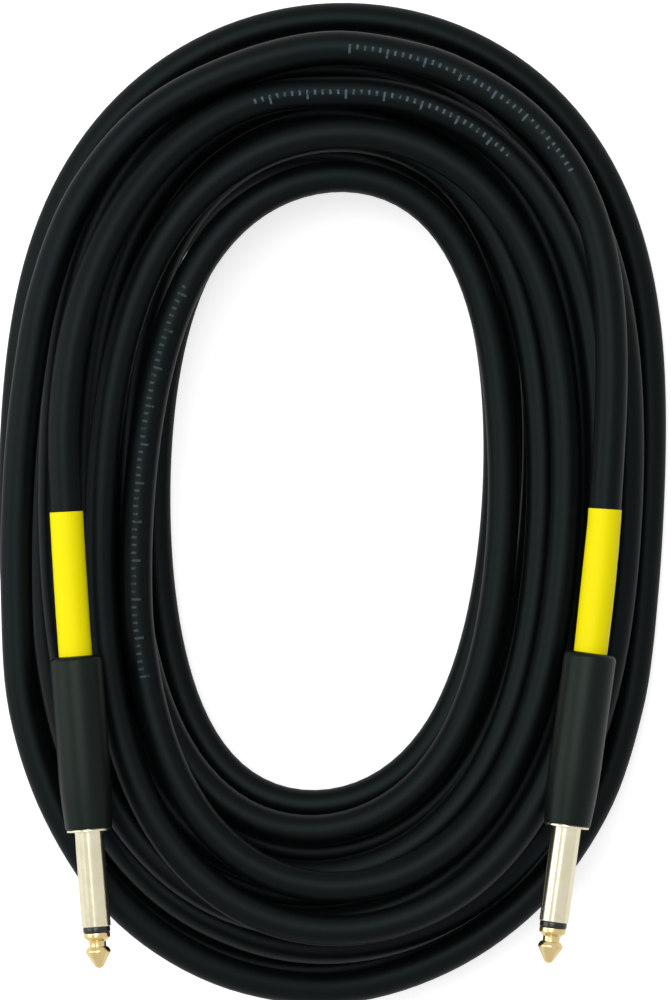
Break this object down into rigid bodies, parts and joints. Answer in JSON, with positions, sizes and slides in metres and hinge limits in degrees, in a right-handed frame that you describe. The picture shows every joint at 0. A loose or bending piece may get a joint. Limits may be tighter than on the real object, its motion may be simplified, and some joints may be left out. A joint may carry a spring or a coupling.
{
  "type": "instrument cable",
  "caption": "Black round instrument cable wound in an oval coil, with a straight 6.35 mm two-pole plug and a yellow band on each end.",
  "frame": {"origin": "middle of the footprint, on the surface that the coil lies on", "axes": "+Z up from the surface, +Y along the coil away from the plug tips, +X to the right seen from above with +Y up"},
  "size_m": [0.1484, 0.2214, 0.0408],
  "materials": {
    "jacket": "satin black PVC",
    "band": "bright yellow heat-shrink",
    "barrel": "satin black",
    "liner": "translucent off-white",
    "nickel": "pale warm nickel plate",
    "ring": "glossy black",
    "gold": "gold plate",
    "brass": "bright",
    "natural": "natural",
    "fibre": "fibre board",
    "tinned": "tinned brass strip",
    "copper": "bare copper",
    "solder": "bright solder"
  },
  "bodies": {
    "cable": {"cable_coil": "jacket", "left_free_cord": "jacket", "right_free_cord": "jacket", "left_cord_end": "jacket", "left_yellow_band": "band", "left_sleeve_contact": "nickel", "left_tip_insulator": "ring", "left_tip_contact": "gold", "left_tip_rod": "brass", "left_rod_insulator": "natural", "left_rear_washer": "fibre", "left_tip_lug": "tinned", "left_ground_clamp": "tinned", "left_core_insulation": "natural", "left_core_wire": "copper", "left_shield_pigtail": "copper", "left_tip_solder": "solder", "left_ground_solder": "solder", "right_cord_end": "jacket", "right_yellow_band": "band", "right_sleeve_contact": "nickel", "right_tip_insulator": "ring", "right_tip_contact": "gold", "right_tip_rod": "brass", "right_rod_insulator": "natural", "right_rear_washer": "fibre", "right_tip_lug": "tinned", "right_ground_clamp": "tinned", "right_core_insulation": "natural", "right_core_wire": "copper", "right_shield_pigtail": "copper", "right_tip_solder": "solder", "right_ground_solder": "solder"},
    "left_liner": {"left_barrel_liner": "liner"},
    "left_barrel": {"left_barrel_shell": "barrel"},
    "right_liner": {"right_barrel_liner": "liner"},
    "right_barrel": {"right_barrel_shell": "barrel"}
  },
  "joints": [
    {"name": "left_barrel_travel", "type": "slide", "parent": "cable", "child": "left_liner", "axis": [-0.0767, 0.9971, 0], "range_m": [0, 0.006]},
    {"name": "left_barrel_turn", "type": "hinge", "parent": "left_liner", "child": "left_barrel", "pos_m": [-0.05455, -0.05269, 0.035], "axis": [-0.0767, 0.9971, 0], "range_deg": [0, 2160]},
    {"name": "right_barrel_travel", "type": "slide", "parent": "cable", "child": "right_liner", "axis": [0.1357, 0.9907, 0], "range_m": [0, 0.006]},
    {"name": "right_barrel_turn", "type": "hinge", "parent": "right_liner", "child": "right_barrel", "pos_m": [0.05399, -0.05186, 0.035], "axis": [0.1357, 0.9907, 0], "range_deg": [0, 2160]}
  ],
  "couplings": [
    {"joint": "left_barrel_turn", "follows": "left_barrel_travel", "rad_per_m": 6283.2},
    {"joint": "right_barrel_turn", "follows": "right_barrel_travel", "rad_per_m": 6283.2}
  ]
}
